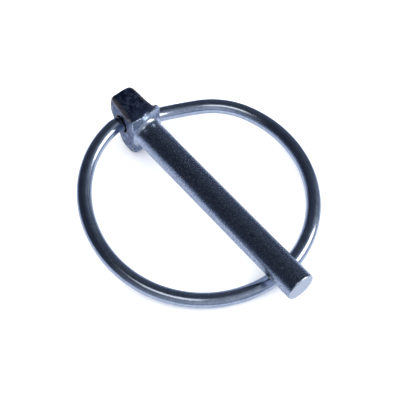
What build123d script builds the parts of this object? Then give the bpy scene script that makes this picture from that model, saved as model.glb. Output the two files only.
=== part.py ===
from build123d import *
import os
from math import acos, cos, pi, radians, sin, sqrt

# Hitch pin lock: a one-piece forged pin and a spring-wire ring that turns in the pin's head.
# Millimetres and degrees. +X runs along the shank to its tip, +Y across the head, and +Z is up.
# Everything is drawn from the shank's axis at the collar face, and then moved back by half the
# shank, so that the origin is at the middle of the shank.

# ---- forged pin: shank ----
shank_diameter = 6.0
shank_length = 46.0            # collar face to tip
root_radius = 1.2              # flare between the collar face and the shank
tip_edge_radius = 0.25

# ---- forged pin: head, side outline before its corners are rounded ----
collar_width = 7.0             # across the head at the collar face
head_length = 9.4              # behind the collar face
head_rise = 5.8                # collar's top edge above the shank's axis
saddle_rise = 4.3              # dip in the top, behind the collar
saddle_setback = 2.4
rear_rise = 5.0                # top of the far end
rear_lean = 0.6                # top of the far end, ahead of its furthest point
rear_point_rise = 0.4          # furthest point above the shank's axis
lobe_drop = 7.3                # lowest point of the lobe
lobe_setback = 4.7
collar_drop = 5.9              # collar's lower edge

# ---- forged pin: head, roundings ----
saddle_radius = 3.0
rear_top_radius = 1.4
rear_radius = 3.0
lobe_radius = 2.0
chin_radius = 0.9
rear_width = 5.5               # across the head at its far end
rear_side_radius = 1.2
forged_edge_radius = 0.8
collar_edge_radius = 0.2       # trimmed edge round the collar face

# ---- cross bore: one oblique hole that takes both ends of the ring ----
bore_clearance = 0.35          # radial, a loose hinge
mouth_edge_radius = 0.25
bore_left = (-4.4, 0.7)        # x, z where the bore's axis meets the collar's left side plane
bore_right = (-3.4, -1.5)      # x, z where it meets the right side plane

# ---- spring ring ----
wire_diameter = 3.0
ring_radius = 22.5             # to the wire's centreline
ring_gap = 0.85                # between the wire and the shank, where they cross
ring_overlap = 6.6             # from the wire's centreline, where it crosses the shank, to the tip
ring_tilt = 4.0                # of the ring's flat part, down towards the tip
left_arm_angle = 125.0         # share of the circle that gives way to the left arm
right_arm_angle = 65.0         # and to the right arm
left_heading = 11.0            # of the left arm, towards the tip, where its end bend starts
end_bend_radius = 4.0          # bend that turns the left arm into the bore
end_depth = 2.4                # wire end inside the bore
end_edge_radius = 0.3

os.makedirs("parts", exist_ok=True)

shank_radius = shank_diameter / 2
wire_radius = wire_diameter / 2
bore_radius = wire_radius + bore_clearance
half_collar = collar_width / 2
face_tolerance = 0.01

left_mouth = Vector(bore_left[0], -half_collar, bore_left[1])
right_mouth = Vector(bore_right[0], half_collar, bore_right[1])
bore_axis = (right_mouth - left_mouth).normalized()
bore_middle = (left_mouth + right_mouth) / 2


def rounded(face, corners):
    """Round the corners of a flat outline, each by its own radius."""
    for corner, radius in corners:
        nearest = face.vertices().sort_by_distance(corner)[0]
        face = fillet(nearest, radius)
    return face


def head_blank():
    """The head as its side outline crossed with its plan outline."""
    collar_top = (0, head_rise)
    saddle = (-saddle_setback, saddle_rise)
    rear_top = (rear_lean - head_length, rear_rise)
    rear_point = (-head_length, rear_point_rise)
    lobe = (-lobe_setback, -lobe_drop)
    chin = (0, -collar_drop)
    outline = Polyline(collar_top, saddle, rear_top, rear_point, lobe, chin, close=True)
    side = rounded(
        make_face(outline),
        [
            (saddle, saddle_radius),
            (rear_top, rear_top_radius),
            (rear_point, rear_radius),
            (lobe, lobe_radius),
            (chin, chin_radius),
        ],
    )
    side = extrude(Plane.XZ * side, collar_width, both=True)

    rear_left = (-head_length, -rear_width / 2)
    rear_right = (-head_length, rear_width / 2)
    plan = rounded(
        make_face(
            Polyline((0, -half_collar), (0, half_collar), rear_right, rear_left, close=True)
        ),
        [(rear_left, rear_side_radius), (rear_right, rear_side_radius)],
    )
    plan = extrude(plan, 2 * lobe_drop, both=True)
    return side & plan


def root_flare():
    """Concave ring of metal between the collar face and the shank."""
    lip = shank_radius + root_radius
    outline = Wire(
        [
            Edge.make_line((0, 0), (root_radius, 0)),
            Edge.make_line((root_radius, 0), (root_radius, shank_radius)),
            RadiusArc((root_radius, shank_radius), (0, lip), root_radius).edge(),
            Edge.make_line((0, lip), (0, 0)),
        ]
    )
    flare = revolve(Plane.XZ * make_face(outline), Axis.X)
    return flare & Box(2 * shank_length, collar_width, 2 * shank_length)


def forged_pin():
    """Head, flared root and shank in one forging, with the oblique cross bore."""
    head = head_blank()
    side_edges = head.edges().filter_by(lambda e: abs((e @ 0.5).Y) > rear_width / 4)
    long_edges = side_edges.filter_by(lambda e: (e @ 0.5).X < -face_tolerance)
    head = fillet(long_edges, forged_edge_radius)
    collar_edges = head.edges().filter_by_position(Axis.X, -face_tolerance, face_tolerance)
    head = fillet(collar_edges, collar_edge_radius)

    shank = Pos(shank_length / 2, 0, 0) * Rot(0, 90, 0) * Cylinder(shank_radius, shank_length)
    tip_edge = shank.edges().sort_by(Axis.X)[-1]
    shank = fillet(tip_edge, tip_edge_radius)

    pin = head + root_flare() + shank
    before = pin.edges()
    pin -= Plane(origin=bore_middle, z_dir=bore_axis) * Cylinder(bore_radius, 3 * collar_width)
    mouths = [e for e in pin.edges() - before if abs((e @ 0.5).Y) > rear_width / 4]
    return fillet(mouths, mouth_edge_radius)


def biarc(start, start_direction, end, end_direction):
    """Two arcs that leave start along one direction and reach end along another."""
    chord = end - start
    total = start_direction + end_direction
    spread = 2 * (1 - start_direction.dot(end_direction))
    along = chord.dot(total)
    reach = (sqrt(along**2 + spread * chord.dot(chord)) - along) / spread
    joint = (start + end + (start_direction - end_direction) * reach) / 2
    first = Edge.make_tangent_arc(start, start_direction, joint)
    second = Edge.make_tangent_arc(joint, first % 1, end)
    return [first, second]


def end_bend():
    """The sharp bend just outside the left mouth, from the bore's axis to the arm's heading."""
    outward = bore_axis * -1
    heading = Vector(sin(radians(left_heading)), -cos(radians(left_heading)), 0)
    turn = acos(outward.dot(heading))
    across = (heading - outward * outward.dot(heading)).normalized()
    knee = left_mouth + (outward * sin(turn) + across * (1 - cos(turn))) * end_bend_radius
    return Edge.make_tangent_arc(left_mouth, outward, knee), knee, heading


def ring_path():
    """The wire's centreline, from its left end in the bore, round to its right end."""
    crossing_x = shank_length - ring_overlap
    crossing_z = -(shank_radius + ring_gap + wire_radius)
    tilt = radians(ring_tilt)
    outward = Vector(cos(tilt), 0, -sin(tilt))
    centre = Vector(crossing_x, 0, crossing_z) - outward * ring_radius
    sideways = Vector(0, 1, 0)

    def on_circle(angle):
        """Angle 0 is at the head, and 180 is where the wire crosses the shank."""
        a = radians(angle)
        return centre - outward * (ring_radius * cos(a)) - sideways * (ring_radius * sin(a))

    def direction(angle):
        a = radians(angle)
        return outward * sin(a) - sideways * cos(a)

    left, right = left_arm_angle, 360 - right_arm_angle
    circle = ThreePointArc(on_circle(left), on_circle(180), on_circle(right)).edge()
    bend, knee, heading = end_bend()
    left_arm = biarc(on_circle(left), direction(left) * -1, knee, heading * -1)
    right_arm = biarc(on_circle(right), direction(right), right_mouth, bore_axis * -1)
    left_end = Edge.make_line(left_mouth, left_mouth + bore_axis * end_depth)
    right_end = Edge.make_line(right_mouth, right_mouth - bore_axis * end_depth)
    return Wire([left_end, bend, left_arm[1], left_arm[0], circle, *right_arm, right_end])


def spring_ring():
    """Round spring wire, bent to a ring whose ends point at each other along the bore."""
    path = ring_path()
    section = Plane(origin=path @ 0, z_dir=path % 0) * Circle(wire_radius)
    ring = sweep(section, path=path)
    expected = pi * wire_radius**2 * path.length
    print("ring volume over section times length:", ring.volume / expected)
    end_faces = ring.faces().filter_by(GeomType.PLANE)
    return fillet(end_faces.edges(), end_edge_radius)


for name, solid in (("forged_pin", forged_pin()), ("spring_ring", spring_ring())):
    solid = Pos(-shank_length / 2, 0, 0) * solid
    export_step(solid, f"parts/{name}.step")
    print(name, round(solid.volume, 3), solid.bounding_box())
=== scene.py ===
import bpy
import bmesh
import math
from mathutils import Matrix, Vector, kdtree


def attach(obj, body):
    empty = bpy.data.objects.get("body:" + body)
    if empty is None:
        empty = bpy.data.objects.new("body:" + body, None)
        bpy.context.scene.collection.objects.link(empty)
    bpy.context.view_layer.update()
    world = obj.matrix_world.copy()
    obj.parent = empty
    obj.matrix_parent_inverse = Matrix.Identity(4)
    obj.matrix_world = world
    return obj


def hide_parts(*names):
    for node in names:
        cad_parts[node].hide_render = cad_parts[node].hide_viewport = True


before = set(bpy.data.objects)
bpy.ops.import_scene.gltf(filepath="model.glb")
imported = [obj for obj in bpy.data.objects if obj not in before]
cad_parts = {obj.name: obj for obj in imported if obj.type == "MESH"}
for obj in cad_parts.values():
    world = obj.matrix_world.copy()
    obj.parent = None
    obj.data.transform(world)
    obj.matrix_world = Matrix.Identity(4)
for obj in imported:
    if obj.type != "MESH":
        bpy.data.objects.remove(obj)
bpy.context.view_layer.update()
mm = 0.001

def activate(piece):                            # only this piece is selected and active
    bpy.ops.object.select_all(action='DESELECT')
    piece.select_set(True)
    bpy.context.view_layer.objects.active = piece

def startEdit(piece):
    activate(piece)
    bpy.ops.object.mode_set(mode='EDIT')

def endEdit():
    bpy.ops.object.mode_set(mode='OBJECT')

def pick(piece, kind, test):                    # in edit mode, selects what passes the test
    bpy.ops.mesh.select_mode(type=kind)
    bpy.ops.mesh.select_all(action='DESELECT')
    shape = bmesh.from_edit_mesh(piece.data)
    for part in {'VERT': shape.verts, 'EDGE': shape.edges}[kind]:
        if test(part):
            part.select_set(True)
    bmesh.update_edit_mesh(piece.data)

def settle(piece):                              # place and size go into the mesh
    activate(piece)
    bpy.ops.object.transform_apply(location=True, rotation=True, scale=True)

def useModifier(piece, kind, **settings):       # adds a modifier and applies it
    activate(piece)
    modifier = piece.modifiers.new(kind.title(), kind)
    for name, value in settings.items():
        setattr(modifier, name, value)
    bpy.ops.object.modifier_apply(modifier=modifier.name)

def toMetres(piece):                            # pieces are modelled in millimetres
    piece.scale = (mm, mm, mm)
    settle(piece)

def middleOf(part):
    return sum((v.co for v in part.verts), Vector()) / len(part.verts)

def isAt(v, spot, slack):                       # seen from the side
    return abs(v.co.x - spot.x) < slack and abs(v.co.z - spot.z) < slack

pinSizes = {                                    # millimetres, from the shank's middle
    'collarX': -23.0, 'collarHalf': 3.5, 'collarDrop': 5.9, 'rearHalf': 2.75,
    'headLength': 9.4, 'headRise': 5.5, 'headDrop': 7.25,
    'saddleBack': 2.4, 'saddleRise': 4.3, 'lobeBack': 4.7, 'backSlope': 0.36,
    'rearTop': (-8.85, 5.25), 'rearPoint': (-9.5, 0.4),
    # how far each corner's rounding reaches along its two sides
    'rearPointRound': 1.05, 'lobeRound': 1.6, 'rearTopRound': 1.35, 'chinRound': 0.67,
    'saddleRound': 1.0, 'lipBevel': 0.35,
    # how far behind the collar, or how low, the edges start to be worn round, and over what run
    'roundFrom': 0.7, 'roundOver': 1.2, 'lobeFrom': -2.2, 'lobeOver': 1.5,
    'rearFrom': 6.4, 'rearOver': 2.0,
    'edgePasses': 85, 'rearPasses': 10, 'drawnPasses': 12,
    'blankVoxel': 0.2, 'skinVoxel': 0.14,
    'shankRadius': 3.0, 'shankLength': 46.0, 'rootRadius': 1.2, 'tipEdge': 0.25,
    'stubDepth': 0.4, 'shankSides': 80, 'drawnFrom': 1.6, 'drawnShort': 0.5,
    'boreRadius': 1.85, 'boreLeft': (-4.4, 0.7), 'boreRight': (-3.4, -1.5),
    'lipLump': (-0.55, 2.8, 5.12), 'lipLumpRadius': 0.5, 'lumpFrom': 2.2,
    'lipReach': 0.6, 'lipFoot': 4.5, 'lipFade': 0.7,
    'forgedWave': 0.16, 'waveSize': 1.5, 'trimTear': 0.42, 'tearSize': 0.9,
    'trimNotch': 0.5, 'notchY': 0.35, 'notchHalf': 0.4,
    'wearFrom': 0.1, 'wearOver': 0.6,
}

def boreMouth(name, side):                      # where the bore's axis meets a side of the collar
    x, z = pinSizes[name]
    return Vector((pinSizes['collarX'] + x, side * pinSizes['collarHalf'], z))

boreLeft, boreRight = boreMouth('boreLeft', -1), boreMouth('boreRight', 1)
boreAxis = (boreRight - boreLeft).normalized()
boreMiddle = (boreLeft + boreRight) / 2

def headBlank():
    s = pinSizes
    collarX = s['collarX']
    length, height = s['headLength'], s['headRise'] + s['headDrop']
    bpy.ops.mesh.primitive_cube_add(
        size=1, location=(collarX - length / 2, 0, s['headRise'] - height / 2),
        scale=(length, 2 * s['collarHalf'], height))
    head = bpy.context.object
    head.name = 'head'
    settle(head)
    startEdit(head)
    for back in (s['saddleBack'], s['lobeBack']):
        bpy.ops.mesh.select_all(action='SELECT')
        bpy.ops.mesh.bisect(plane_co=(collarX - back, 0, 0), plane_no=(1, 0, 0))
    top, bottom = s['headRise'], -s['headDrop']
    rear = -s['headLength']
    lobeTop = s['saddleRise'] + (s['rearTop'][1] - s['saddleRise']) * s['backSlope']
    moves = [                                   # from x and z to x and z, x from the collar
        (-s['saddleBack'], top, -s['saddleBack'], s['saddleRise']),
        (-s['lobeBack'], top, -s['lobeBack'], lobeTop),
        (rear, top, *s['rearTop']),
        (rear, bottom, *s['rearPoint']),
        (-s['saddleBack'], bottom, -s['saddleBack'], -0.5 * (s['collarDrop'] + s['headDrop'])),
        (0, bottom, 0, -s['collarDrop']),
    ]
    for x, z, toX, toZ in moves:
        here = Vector((collarX + x, 0, z))
        pick(head, 'VERT', lambda v: isAt(v, here, 1e-4))
        bpy.ops.transform.translate(value=(toX - x, 0, toZ - z))
    # the sides draw in towards the rear, whose corners now lean by up to 0.55
    for back in (s['saddleBack'], s['lobeBack'], s['headLength']):
        share = 1 - (1 - s['rearHalf'] / s['collarHalf']) * back / s['headLength']
        x = collarX - back
        pick(head, 'VERT', lambda v: abs(v.co.x - x) < 0.7)
        bpy.ops.transform.resize(value=(1, share, 1))
    corners = [                                 # x, z, reach of the rounding
        (*s['rearPoint'], s['rearPointRound']),
        (-s['lobeBack'], -s['headDrop'], s['lobeRound']),
        (*s['rearTop'], s['rearTopRound']),
        (0, -s['collarDrop'], s['chinRound']),
        (-s['saddleBack'], s['saddleRise'], s['saddleRound']),
    ]
    for x, z, reach in corners:
        spot = Vector((collarX + x, 0, z))
        pick(head, 'EDGE', lambda e: all(isAt(v, spot, 1e-3) for v in e.verts))
        bpy.ops.mesh.bevel(offset=reach, segments=6, affect='EDGES', clamp_overlap=True)
    lipFoot = s['headRise'] - 0.5
    pick(head, 'EDGE', lambda e: all(
        abs(v.co.x - collarX) < 1e-3 and v.co.z > lipFoot for v in e.verts))
    bpy.ops.mesh.bevel(offset=s['lipBevel'], segments=2, affect='EDGES')
    endEdit()
    # the hammered edges are worn round everywhere but at the trimmed collar face
    useModifier(head, 'REMESH', mode='VOXEL', voxel_size=s['blankVoxel'])
    weightWhere(head, 'forged', lambda p: max(
        (collarX - s['roundFrom'] - p.x) / s['roundOver'], (s['lobeFrom'] - p.z) / s['lobeOver']))
    useModifier(head, 'SMOOTH', factor=1.0, iterations=s['edgePasses'], vertex_group='forged')
    weightWhere(head, 'rear', lambda p: (collarX - s['rearFrom'] - p.x) / s['rearOver'])
    useModifier(head, 'SMOOTH', factor=1.0, iterations=s['rearPasses'], vertex_group='rear')
    head.vertex_groups.clear()
    return head

def rootAndShank():
    s = pinSizes
    collarX, root, radius = s['collarX'], s['rootRadius'], s['shankRadius']
    bpy.ops.mesh.primitive_circle_add(
        vertices=s['shankSides'], radius=radius + root, fill_type='NGON',
        location=(collarX - s['stubDepth'], 0, 0), rotation=(0, math.pi / 2, 0))
    shank = bpy.context.object
    shank.name = 'shank'
    settle(shank)
    startEdit(shank)
    bpy.ops.mesh.select_all(action='SELECT')

    def growTo(step, ratio):                    # extrudes the end face along the shank and sizes it
        bpy.ops.mesh.extrude_region_move(TRANSFORM_OT_translate={'value': (step, 0, 0)})
        bpy.ops.transform.resize(value=(1, ratio, ratio))

    growTo(s['stubDepth'], 1)
    x, r = 0.0, radius + root
    flareSteps = 7
    for k in range(1, flareSteps + 1):          # a quarter circle, hollow towards the shank
        t = k * math.pi / (2 * flareSteps)
        nextX, nextR = root * (1 - math.cos(t)), radius + root * (1 - math.sin(t))
        growTo(nextX - x, nextR / r)
        x, r = nextX, nextR
    growTo(s['shankLength'] - x, 1)
    tipX = collarX + s['shankLength']
    pick(shank, 'EDGE', lambda e: all(abs(v.co.x - tipX) < 1e-4 for v in e.verts))
    bpy.ops.mesh.bevel(offset=s['tipEdge'], segments=3, affect='EDGES')
    for side in (-1, 1):                        # the flare stops at the collar's sides
        bpy.ops.mesh.select_all(action='SELECT')
        bpy.ops.mesh.bisect(plane_co=(0, side * s['collarHalf'], 0), plane_no=(0, side, 0),
                            clear_outer=True, use_fill=True)
    bpy.ops.mesh.select_all(action='SELECT')
    bpy.ops.mesh.normals_make_consistent(inside=False)
    endEdit()
    return shank

def boreCutter():
    turn = boreAxis.to_track_quat('Z', 'Y').to_euler()
    bpy.ops.mesh.primitive_cylinder_add(vertices=64, radius=pinSizes['boreRadius'], depth=20,
                                        location=boreMiddle, rotation=turn)
    cutter = bpy.context.object
    settle(cutter)
    return cutter

def combine(piece, other, operation):
    useModifier(piece, 'BOOLEAN', operation=operation, object=other, solver='EXACT')
    bpy.data.objects.remove(other)

def weightWhere(piece, name, weight):           # a vertex group, weighted by place
    group = piece.vertex_groups.new(name=name)
    for v in piece.data.vertices:
        w = weight(v.co)
        if w > 0:
            group.add([v.index], min(1.0, w), 'REPLACE')

def cloud(name, size, contrast=1.0):
    texture = bpy.data.textures.new(name, 'CLOUDS')
    texture.noise_scale = size
    texture.noise_depth = 2
    texture.contrast = contrast
    return texture

def lipLump():                                  # a drop of metal left where the flash was trimmed
    x, y, z = pinSizes['lipLump']
    bpy.ops.mesh.primitive_ico_sphere_add(
        subdivisions=3, radius=pinSizes['lipLumpRadius'],
        location=(pinSizes['collarX'] + x, y, z), scale=(1.0, 1.15, 1.0))
    lump = bpy.context.object
    settle(lump)
    return lump

def forgedPin():
    s = pinSizes
    pin = headBlank()
    combine(pin, lipLump(), 'UNION')
    combine(pin, rootAndShank(), 'UNION')
    combine(pin, boreCutter(), 'DIFFERENCE')
    pin.name = 'forgedPinBody'
    print('pin: blank joined, faces', len(pin.data.polygons))
    useModifier(pin, 'REMESH', mode='VOXEL', voxel_size=s['skinVoxel'], use_smooth_shade=True)
    useModifier(pin, 'SMOOTH', factor=0.5, iterations=2)
    collarX = s['collarX']
    drawnFrom = collarX + s['drawnFrom']
    drawnTo = collarX + s['shankLength'] - s['drawnShort']
    weightWhere(pin, 'drawn', lambda p: 1.0 if drawnFrom < p.x < drawnTo else 0)
    useModifier(pin, 'SMOOTH', factor=1.0, iterations=s['drawnPasses'], vertex_group='drawn')

    def lip(p):                                 # 1 along the collar's top edge, fading off
        near = max(0, 1 - abs(p.x - collarX + 0.1) / s['lipReach'])
        return near * max(0, min(1, (p.z - s['lipFoot']) / s['lipFade']))

    def notch(p):
        return math.exp(-((p.y - s['notchY']) / s['notchHalf']) ** 2)

    weightWhere(pin, 'headSkin', lambda p: 1.0 if p.x < collarX - 0.3 else 0.05)
    weightWhere(pin, 'trimEdge', lambda p: lip(p) * (1 if p.y < s['lumpFrom'] else 0.3))
    weightWhere(pin, 'trimNotch', lambda p: lip(p) * notch(p))
    useModifier(pin, 'DISPLACE', texture=cloud('forgedWaves', s['waveSize']),
                texture_coords='LOCAL', strength=s['forgedWave'], mid_level=1.0,
                vertex_group='headSkin')
    useModifier(pin, 'DISPLACE', texture=cloud('trimTears', s['tearSize'], 2.5),
                texture_coords='LOCAL', direction='Z', strength=s['trimTear'], mid_level=1.0,
                vertex_group='trimEdge')
    useModifier(pin, 'DISPLACE', direction='Z', strength=-s['trimNotch'], mid_level=0.0,
                vertex_group='trimNotch')
    useModifier(pin, 'SMOOTH', factor=0.3, iterations=1)
    pin.vertex_groups.clear()
    toMetres(pin)
    bpy.ops.object.shade_smooth()
    # how far each place turns from the head's sides to its outline, for wear on the long edges
    edge = pin.data.attributes.new('longEdge', 'FLOAT', 'POINT')
    wearFrom, wearOver = (collarX - s['wearFrom']) * mm, s['wearOver'] * mm
    for v, n in zip(pin.data.vertices, pin.data.vertex_normals):
        side = abs(n.vector.y)
        behind = min(1.0, max(0.0, (wearFrom - v.co.x) / wearOver))
        edge.data[v.index].value = 2 * side * math.sqrt(max(0.0, 1 - side * side)) * behind
    print('pin: faces', len(pin.data.polygons))
    return pin

ringSizes = {                                   # millimetres, the tilt in degrees
    'wireRadius': 1.495, 'ringRadius': 22.5, 'gap': 0.85, 'overlap': 6.6, 'tilt': 4.0,
    'leftArm': 125.0, 'rightArm': 65.0, 'leftHeading': 11.0,      # degrees
    'endBend': 4.0, 'endDepth': 2.4, 'endEdge': 0.3, 'around': 40, 'stepLength': 0.8,
}

# centre, axis and angle of the arc that leaves start along heading and reaches end
def arcThrough(start, heading, end):
    chord = end - start
    normal = (chord - heading * chord.dot(heading)).normalized()
    radius = chord.length_squared / (2 * chord.dot(normal))
    centre = start + normal * radius
    angle = 2 * math.atan2(chord.dot(normal), chord.dot(heading))
    return centre, heading.cross(normal), angle

# where two arcs meet, between two places with set headings
def biarc(start, heading, end, endHeading):
    chord = end - start
    total = heading + endHeading
    spread = 2 * (1 - heading.dot(endHeading))
    along = chord.dot(total)
    reach = (math.sqrt(along ** 2 + spread * chord.length_squared) - along) / spread
    return (start + end + (heading - endHeading) * reach) / 2

def springRing():
    s = ringSizes
    tilt = math.radians(s['tilt'])
    outward = Vector((math.cos(tilt), 0, -math.sin(tilt)))
    sideways = Vector((0, 1, 0))
    crossing = Vector((pinSizes['collarX'] + pinSizes['shankLength'] - s['overlap'], 0,
                       -(pinSizes['shankRadius'] + s['gap'] + s['wireRadius'])))
    radius = s['ringRadius']
    centre = crossing - outward * radius

    def onCircle(degrees):
        a = math.radians(degrees)
        return centre - outward * (radius * math.cos(a)) - sideways * (radius * math.sin(a))

    def direction(degrees):
        a = math.radians(degrees)
        return outward * math.sin(a) - sideways * math.cos(a)

    heading = math.radians(s['leftHeading'])
    armHeading = Vector((math.sin(heading), -math.cos(heading), 0))
    out = -boreAxis
    turn = math.acos(out.dot(armHeading))
    across = (armHeading - out * out.dot(armHeading)).normalized()
    knee = boreLeft + (out * math.sin(turn) + across * (1 - math.cos(turn))) * s['endBend']
    left, right = s['leftArm'], 360 - s['rightArm']
    leftJoint = biarc(knee, armHeading, onCircle(left), direction(left))
    rightJoint = biarc(onCircle(right), direction(right), boreRight, out)
    start = boreLeft + boreAxis * s['endDepth']
    stops = [boreLeft, knee, leftJoint, onCircle(left), onCircle(180), onCircle(right),
             rightJoint, boreRight]

    bpy.ops.mesh.primitive_circle_add(
        vertices=s['around'], radius=s['wireRadius'], location=start,
        rotation=out.to_track_quat('Z', 'Y').to_euler())
    ring = bpy.context.object
    ring.name = 'springRingWire'
    settle(ring)
    startEdit(ring)
    bpy.ops.mesh.select_all(action='SELECT')
    here, way = start, out.copy()
    line = [(here.copy(), way.copy())]          # places along the wire, each with its heading
    for stop in stops:
        chord = stop - here
        if chord.normalized().dot(way) > 0.999999:
            bpy.ops.mesh.extrude_edges_move(TRANSFORM_OT_translate={'value': chord})
        else:
            middle, axis, angle = arcThrough(here, way, stop)
            steps = max(3, round((here - middle).length * angle / s['stepLength']))
            bpy.ops.mesh.spin(steps=steps, angle=angle, center=middle, axis=-axis)
            places = 4 * steps                  # the line is finer than the mesh
            for k in range(1, places):
                turned = Matrix.Rotation(angle * k / places, 3, axis)
                line.append((middle + turned @ (here - middle), turned @ way))
            way = Matrix.Rotation(angle, 3, axis) @ way
        here = stop
        line.append((here.copy(), way.copy()))
    bpy.ops.mesh.extrude_edges_move(TRANSFORM_OT_translate={'value': out * s['endDepth']})
    bpy.ops.mesh.select_all(action='SELECT')
    bpy.ops.mesh.remove_doubles(threshold=0.001)
    for side in (-1, 1):                        # closes and rounds each end
        pick(ring, 'EDGE', lambda e: len(e.link_faces) == 1 and middleOf(e).y * side < 0)
        bpy.ops.mesh.edge_face_add()
        bpy.ops.mesh.bevel(offset=s['endEdge'], segments=3, affect='EDGES')
    bpy.ops.mesh.select_all(action='SELECT')
    bpy.ops.mesh.normals_make_consistent(inside=False)
    endEdit()
    straighten(ring, line)
    toMetres(ring)
    bpy.ops.object.shade_smooth()
    print('ring: faces', len(ring.data.polygons))
    return ring

# where each place of the ring was on the straight wire, for the lines that drawing leaves
def straighten(ring, line):
    finder = kdtree.KDTree(len(line))
    run, runs = 0.0, []
    for k, (place, way) in enumerate(line):
        if k:
            run += (place - line[k - 1][0]).length
        runs.append(run)
        finder.insert(place, k)
    finder.balance()
    straight = ring.data.attributes.new('straightWire', 'FLOAT_VECTOR', 'POINT')
    for v in ring.data.vertices:
        place, k, _ = finder.find(v.co)
        way = line[k][1]
        side = way.cross(Vector((0, 0, 1))).normalized()
        off = v.co - place
        straight.data[v.index].vector = (
            off.dot(side), off.dot(side.cross(way)), runs[k] + off.dot(way))

class Flow:                                     # a shader's socket, or the bare shader to start
    def __init__(self, tree, socket=None):
        self.tree, self.socket = tree, socket

    def node(self, kind, settings=None, inputs=None, output=0):
        made = self.tree.nodes.new(kind)
        for name, value in (settings or {}).items():
            if name == 'stops':
                while len(made.color_ramp.elements) < len(value):
                    made.color_ramp.elements.new(0.5)
                for element, (place, colour) in zip(made.color_ramp.elements, value):
                    element.position, element.color = place, (*colour, 1)
            else:
                setattr(made, name, value)
        for name, value in (inputs or {}).items():
            if isinstance(value, Flow):
                self.tree.links.new(value.socket, made.inputs[name])
            else:
                made.inputs[name].default_value = value
        return Flow(self.tree, made.outputs[output] if made.outputs else None)

    def math(self, operation, first, second):
        return self.node('ShaderNodeMath', {'operation': operation}, {0: first, 1: second})

    def __add__(self, other):
        return self.math('ADD', self, other)

    def __radd__(self, other):
        return self.math('ADD', other, self)

    def __sub__(self, other):
        return self.math('SUBTRACT', self, other)

    def __rsub__(self, other):
        return self.math('SUBTRACT', other, self)

    def __mul__(self, other):
        return self.math('MULTIPLY', self, other)

    def __rmul__(self, other):
        return self.math('MULTIPLY', other, self)

def fade(value, start, end):                    # 0 at start, 1 at end
    return value.node('ShaderNodeMapRange', {}, {
        'Value': value, 'From Min': start, 'From Max': end})

def blend(share, first, second, how='MIX'):     # second, a link or a plain colour, over first
    if not isinstance(second, Flow):
        second = (*second, 1)
    return share.node('ShaderNodeMix', {'data_type': 'RGBA', 'blend_type': how}, {
        0: share, 6: first, 7: second}, 2)

def ramp(value, stops):
    return value.node('ShaderNodeValToRGB', {'stops': stops}, {'Fac': value})

def noise(place, scale, detail, roughness):
    return place.node('ShaderNodeTexNoise', {}, {
        'Vector': place, 'Scale': scale, 'Detail': detail, 'Roughness': roughness})

def axisOf(vector, name):
    return vector.node('ShaderNodeSeparateXYZ', {}, {'Vector': vector}, name)

def newFinish(name):
    material = bpy.data.materials.new(name)
    material.use_nodes = True
    material.node_tree.nodes.clear()
    return material, Flow(material.node_tree)

def platedMetal(flow, tone, roughness, height, strength, depth):
    relief = flow.node('ShaderNodeBump', {}, {
        'Height': height, 'Strength': strength, 'Distance': depth * mm})
    shader = flow.node('ShaderNodeBsdfPrincipled', {}, {
        'Base Color': tone, 'Metallic': 1.0, 'Roughness': roughness, 'Normal': relief})
    flow.node('ShaderNodeOutputMaterial', {}, {'Surface': shader})

forgingFinish = {                               # tones run from the dull places to the bright
    'skinTones': [(0.0, (0.035, 0.05, 0.10)), (0.45, (0.09, 0.12, 0.22)),
                  (1.0, (0.36, 0.43, 0.58))],
    'drawnTones': [(0.0, (0.24, 0.28, 0.37)), (0.5, (0.46, 0.51, 0.61)),
                   (1.0, (0.74, 0.78, 0.85))],
    # the next tone paints a lighter band on the head's sides towards the collar: a painted
    # highlight
    'paintedHighlightTone': (0.42, 0.49, 0.64), 'paintedHighlightShare': 0.55,
    'trimmedTone': (0.62, 0.68, 0.77), 'trimmedShare': 0.75,
    'tipTone': (0.86, 0.88, 0.92), 'tipShare': 0.8,
    'wornTone': (0.52, 0.47, 0.45), 'wornShare': 0.85,
    'patchScale': 1000.0, 'grainScale': 3000.0, 'speckScale': 5200.0,
    'reliefStrength': 0.5, 'reliefDepth': 0.05,
}

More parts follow.
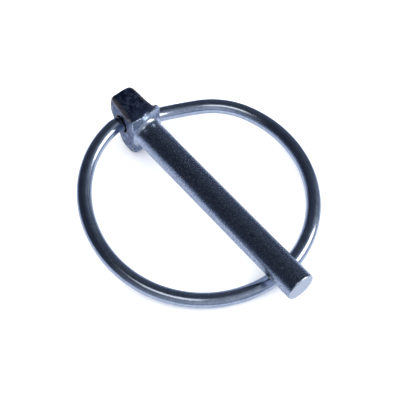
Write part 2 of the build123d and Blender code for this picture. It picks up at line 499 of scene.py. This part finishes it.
def zincForging():
    s = forgingFinish
    material, flow = newFinish('zincForging')
    place = flow.node('ShaderNodeTexCoord', output='Object')
    along, across, rise = (axisOf(place, name) for name in 'XYZ')
    patches = noise(place, s['patchScale'], 4.0, 0.62)
    grain = noise(place, s['grainScale'], 3.0, 0.7)
    speck = noise(place, s['speckScale'], 2.0, 0.6)
    blotch = fade(patches * 0.6 + grain * 0.4, 0.38, 0.63)
    fine = fade(speck * 0.6 + grain * 0.4, 0.40, 0.62)

    def span(value, start, end):                # a fade between two places in millimetres
        return fade(value, start * mm, end * mm)

    collarX = pinSizes['collarX']
    tipX = collarX + pinSizes['shankLength']
    behind = span(along, collarX, collarX - 0.4)
    # the lower part of the collar face takes the head's dark skin tones: painted shade
    collarFaceShade = span(along, collarX + 0.3, collarX + 0.1) * span(rise - across * 0.3, 4.4, 2.6)
    # the lump on the collar's top edge and its corner take the dark skin tones: painted shade
    lump = span(rise, 4.95, 5.25) * span(across, 2.1, 2.4)
    # the forged head's own dark skin behind the collar, plus the painted shade on the lower collar
    # face and on the lump
    head = behind + (collarFaceShade * 0.8 + lump * 0.9) * (1 - behind)
    # a lighter band on the head's sides, growing towards the collar: painted highlight standing in
    # for a reflection
    forward = span(along + patches * 0.0016, collarX - 3.2, collarX + 0.4) * (1 - collarFaceShade)
    trimmed = span(along, collarX + 2.6, collarX + 1.3) * (1 - behind)
    tip = span(along, tipX - 0.3, tipX - 0.1)
    edge = flow.node('ShaderNodeAttribute', {'attribute_name': 'longEdge'}, {}, 'Fac')
    worn = fade(edge + blotch * 0.25, 0.38, 0.9) * s['wornShare']

    skin = blend(forward * s['paintedHighlightShare'], ramp(blotch, s['skinTones']), s['paintedHighlightTone'])
    drawn = blend(trimmed * s['trimmedShare'], ramp(fine, s['drawnTones']), s['trimmedTone'])
    tone = blend(head, drawn, skin)
    tone = blend(tip * s['tipShare'], tone, s['tipTone'])
    tone = blend(worn, tone, s['wornTone'])
    roughness = 0.19 + fine * 0.1 + behind * (0.08 + blotch * 0.12) + worn * 0.12
    height = patches * behind * 1.4 + grain * behind * 0.8 + speck * 0.15 * (1 - trimmed)
    platedMetal(flow, tone, roughness, height, s['reliefStrength'], s['reliefDepth'])
    return material

wireFinish = {
    'tones': [(0.36, (0.40, 0.46, 0.55)), (0.5, (0.58, 0.63, 0.72)), (0.64, (0.74, 0.78, 0.85))],
    'lineStretch': (0.35, 0.35, 14.0),          # millimetres, the last along the wire
    'hazeScale': 0.55, 'fleckScale': 3.0,
    'reliefStrength': 0.35, 'reliefDepth': 0.03,
}

def zincWire():
    s = wireFinish
    material, flow = newFinish('zincWire')
    straight = flow.node('ShaderNodeAttribute', {'attribute_name': 'straightWire'}, {}, 'Vector')
    stretched = flow.node('ShaderNodeMapping', {'vector_type': 'TEXTURE'}, {
        'Vector': straight, 'Scale': s['lineStretch']})
    lines = noise(stretched, 1.0, 3.0, 0.6)
    haze = noise(straight, s['hazeScale'], 4.0, 0.6)
    fleck = noise(straight, s['fleckScale'], 3.0, 0.6)
    mixed = lines * 0.4 + haze * 0.35 + fleck * 0.25
    platedMetal(flow, ramp(mixed, s['tones']), 0.08 + mixed * 0.16, lines + fleck * 0.5,
                s['reliefStrength'], s['reliefDepth'])
    return material

studio = {                                      # metres and degrees, floorZ and aim in millimetres
    'floorZ': -7.0, 'floorSize': 1.6, 'floorTone': (0.93, 0.94, 0.96),
    'aim': (-3.4, -2.3, 0.2), 'azimuth': 49.4, 'elevation': 56.91, 'roll': 1.33,
    'distance': 0.19846, 'lens': 92.81,
    'softboxes': [                              # name, azimuth, elevation, distance, size, power
        ('overhead', 0, 88, 0.6, (1.6, 1.6), 21.0),
        ('frontRight', 134, 22, 0.5, (0.31, 0.3), 0.9),
        ('byCamera', 35.5, 64, 0.5, (0.22, 0.18), 0.13),
    ],
    'softboxTone': (0.97, 0.985, 1.0),
    'roomTones': [                              # from straight down to straight up
        (0.0, (0.60, 0.66, 0.80)), (0.1, (0.62, 0.69, 0.85)), (0.25, (0.78, 0.86, 1.04)),
        (0.36, (0.42, 0.49, 0.65)), (0.46, (0.14, 0.17, 0.26)), (0.56, (0.035, 0.043, 0.068)),
        (1.0, (0.022, 0.027, 0.043))],
    'aheadTone': (0.33, 0.37, 0.44), 'asideTone': (0.04, 0.05, 0.065),
}

def outTo(azimuth, elevation):                  # from the object towards a light or the camera
    a, e = math.radians(azimuth), math.radians(elevation)
    return Vector((math.sin(a) * math.cos(e), -math.cos(a) * math.cos(e), math.sin(e)))

def paleFloor():
    bpy.ops.mesh.primitive_plane_add(
        size=studio['floorSize'], location=(0, 0, studio['floorZ'] * mm))
    floor = bpy.context.object
    floor.name = 'paleFloor'
    material, flow = newFinish('palePaper')
    shader = flow.node('ShaderNodeBsdfPrincipled', {}, {
        'Base Color': (*studio['floorTone'], 1), 'Roughness': 0.9})
    flow.node('ShaderNodeOutputMaterial', {}, {'Surface': shader})
    floor.data.materials.append(material)
    floor.visible_glossy = False                # the metal mirrors the room below it instead

def softbox(name, azimuth, elevation, distance, size, power):
    way = outTo(azimuth, elevation)
    light = bpy.data.lights.new(name, 'AREA')
    light.shape = 'RECTANGLE'
    light.size, light.size_y = size
    light.energy = power
    lamp = bpy.data.objects.new(name, light)
    bpy.context.scene.collection.objects.link(lamp)
    lamp.location = way * distance
    lamp.rotation_euler = way.to_track_quat('Z', 'Y').to_euler()
    return lamp

def studioLight():
    for values in studio['softboxes']:
        lamp = softbox(*values)
        if lamp.name == 'overhead':             # lights the floor, and isn't mirrored in the metal
            lamp.visible_glossy = False
        else:
            lamp.data.color = studio['softboxTone']
    world = bpy.data.worlds.new('room')
    world.use_nodes = True
    world.node_tree.nodes.clear()
    flow = Flow(world.node_tree)
    way = flow.node('ShaderNodeTexCoord', output='Generated')
    forward, across, rise = (axisOf(way, name) for name in 'XYZ')
    upper = fade(rise, -0.15, 0.15)
    room = ramp(fade(rise, -1.0, 1.0), studio['roomTones'])
    room = blend(fade(forward, -0.1, 0.8) * upper, room, studio['aheadTone'], 'ADD')
    room = blend(fade(across, -0.2, 0.7) * upper, room, studio['asideTone'], 'ADD')
    back = flow.node('ShaderNodeBackground', {}, {'Color': room, 'Strength': 1.0})
    flow.node('ShaderNodeOutputWorld', {}, {'Surface': back})
    bpy.context.scene.world = world

def camera():
    s = studio
    back = outTo(s['azimuth'], s['elevation'])
    eye = bpy.data.objects.new('camera', bpy.data.cameras.new('camera'))
    bpy.context.scene.collection.objects.link(eye)
    eye.location = Vector(s['aim']) * mm + back * s['distance']
    upright = (-back).to_track_quat('-Z', 'Y').to_matrix()
    roll = Matrix.Rotation(math.radians(s['roll']), 3, 'Z')
    eye.rotation_euler = (upright @ roll).to_euler()
    eye.data.lens, eye.data.sensor_width = s['lens'], 36.0
    eye.data.clip_start, eye.data.clip_end = 0.01, 10.0
    bpy.context.scene.camera = eye

pin = forgedPin()
pin.data.materials.append(zincForging())
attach(pin, 'pin')
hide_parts('forged_pin')

ring = springRing()
ring.data.materials.append(zincWire())
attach(ring, 'ring')
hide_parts('spring_ring')

paleFloor()
studioLight()
camera()
bpy.context.scene.view_settings.view_transform = 'Standard'
print('studio ready')
